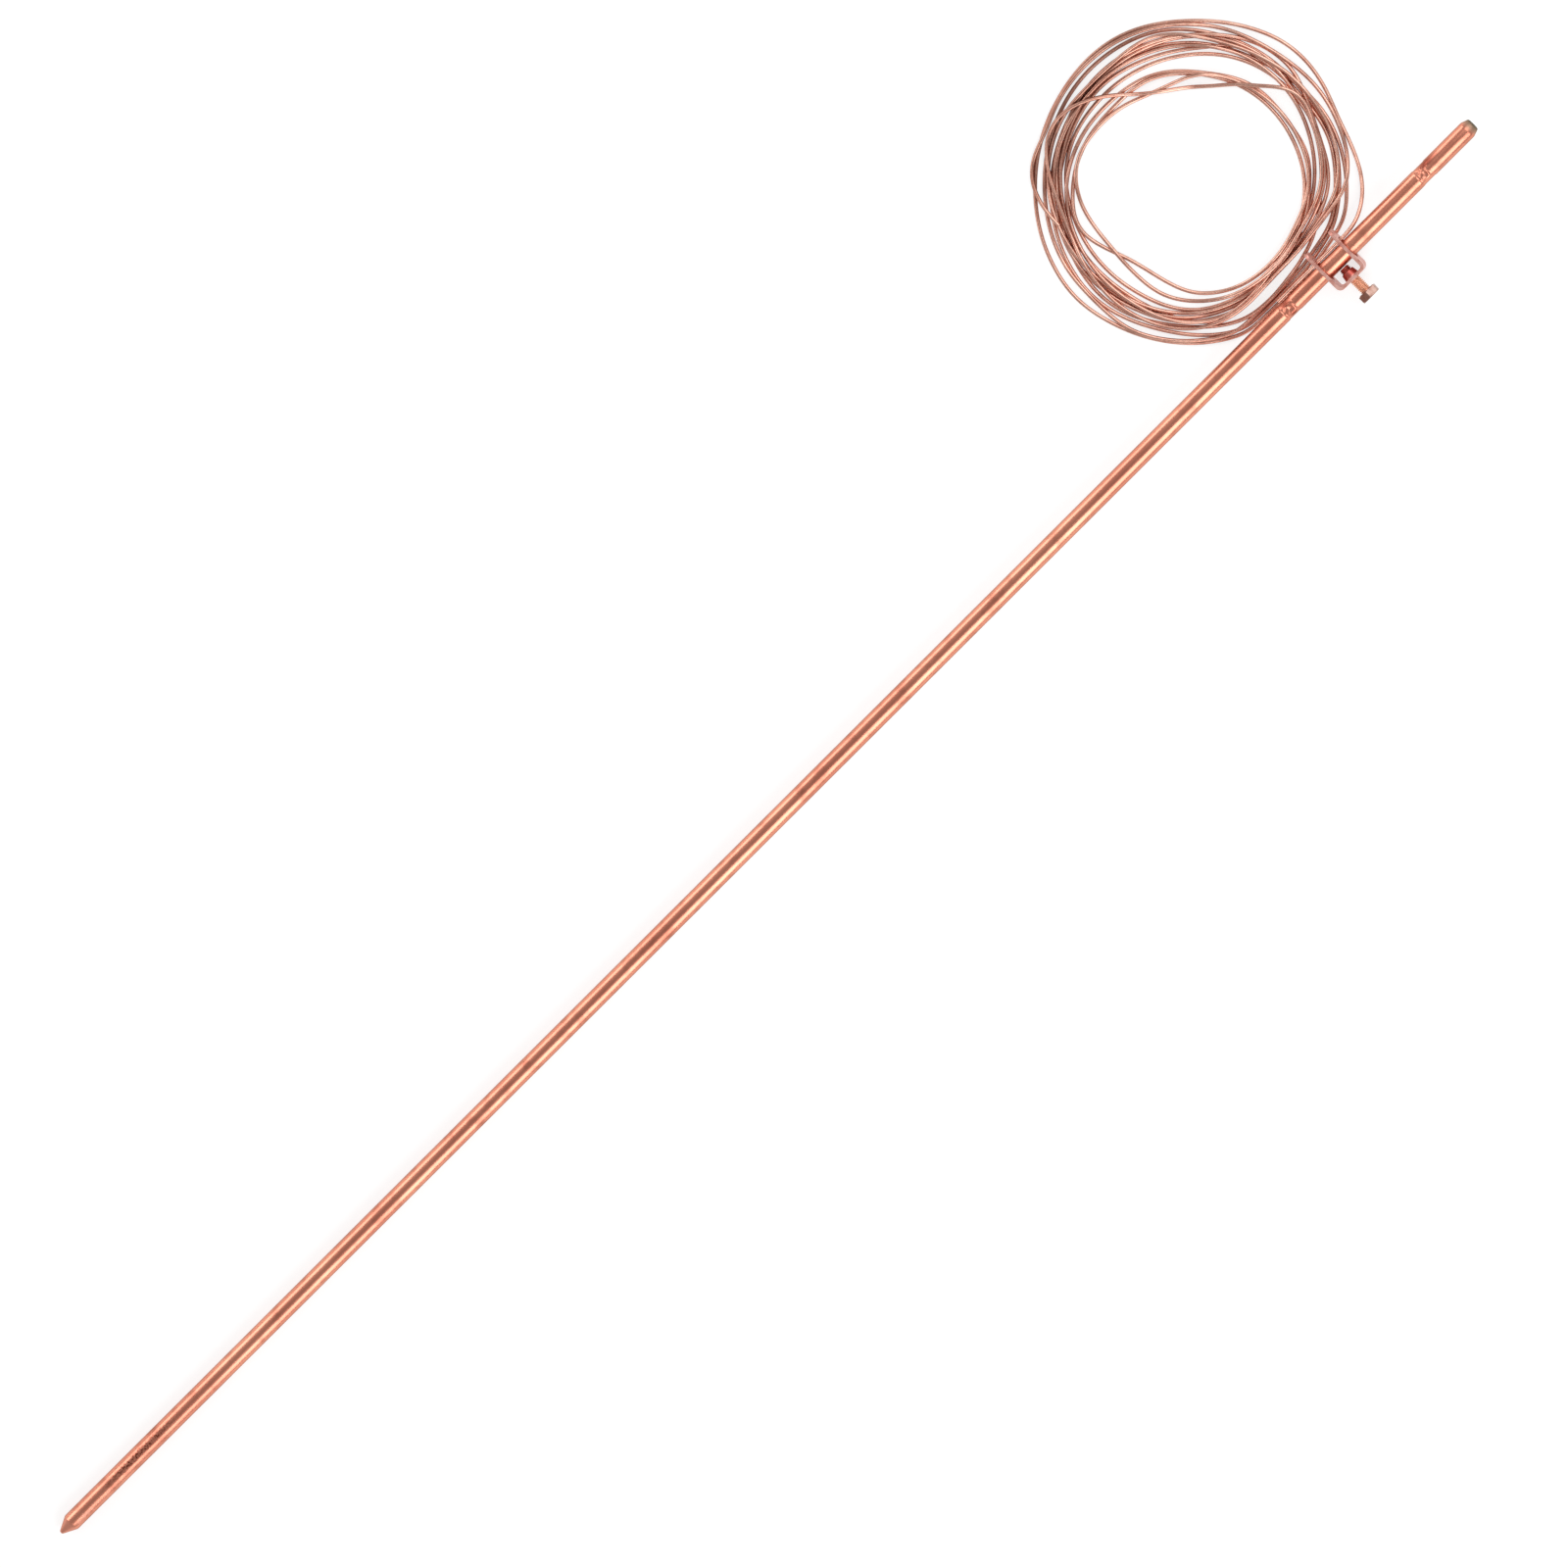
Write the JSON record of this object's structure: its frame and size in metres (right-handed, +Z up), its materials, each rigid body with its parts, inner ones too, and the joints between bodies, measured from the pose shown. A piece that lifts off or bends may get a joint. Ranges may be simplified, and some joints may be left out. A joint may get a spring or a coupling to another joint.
{
  "type": "earth rod",
  "caption": "Pointed copper-coated steel earth rod with a captive folded clamp, a hex clamping bolt and a coiled bare stranded copper earth lead.",
  "frame": {"origin": "on the floor, under the middle of the box of rod, clamp and bolt, without the lead", "axes": "+X along the rod from its point to its top end, +Z up from the floor, +Y towards the coil"},
  "size_m": [1.016, 0.1867, 0.0181],
  "materials": {
    "rod_copper": "bright drawn copper coat with light tarnish",
    "clamp_copper": "satin copper plate on folded strip",
    "bolt_copper": "copper plate on a machine thread",
    "lead_copper": "bare stranded copper"
  },
  "bodies": {
    "rod": {"rod": "rod_copper"},
    "clamp": {"clamp_bracket": "clamp_copper", "lead_tail": "lead_copper", "lead_coil": "lead_copper"},
    "bolt": {"clamp_bolt": "bolt_copper"}
  },
  "joints": [
    {"name": "clamp_slide", "type": "slide", "parent": "rod", "child": "clamp", "axis": [1, 0, 0.0058], "range_m": [-0.02, 0.049]},
    {"name": "bolt_travel", "type": "slide", "parent": "clamp", "child": "bolt", "axis": [0, -1, 0], "range_m": [0, 0.006]}
  ]
}
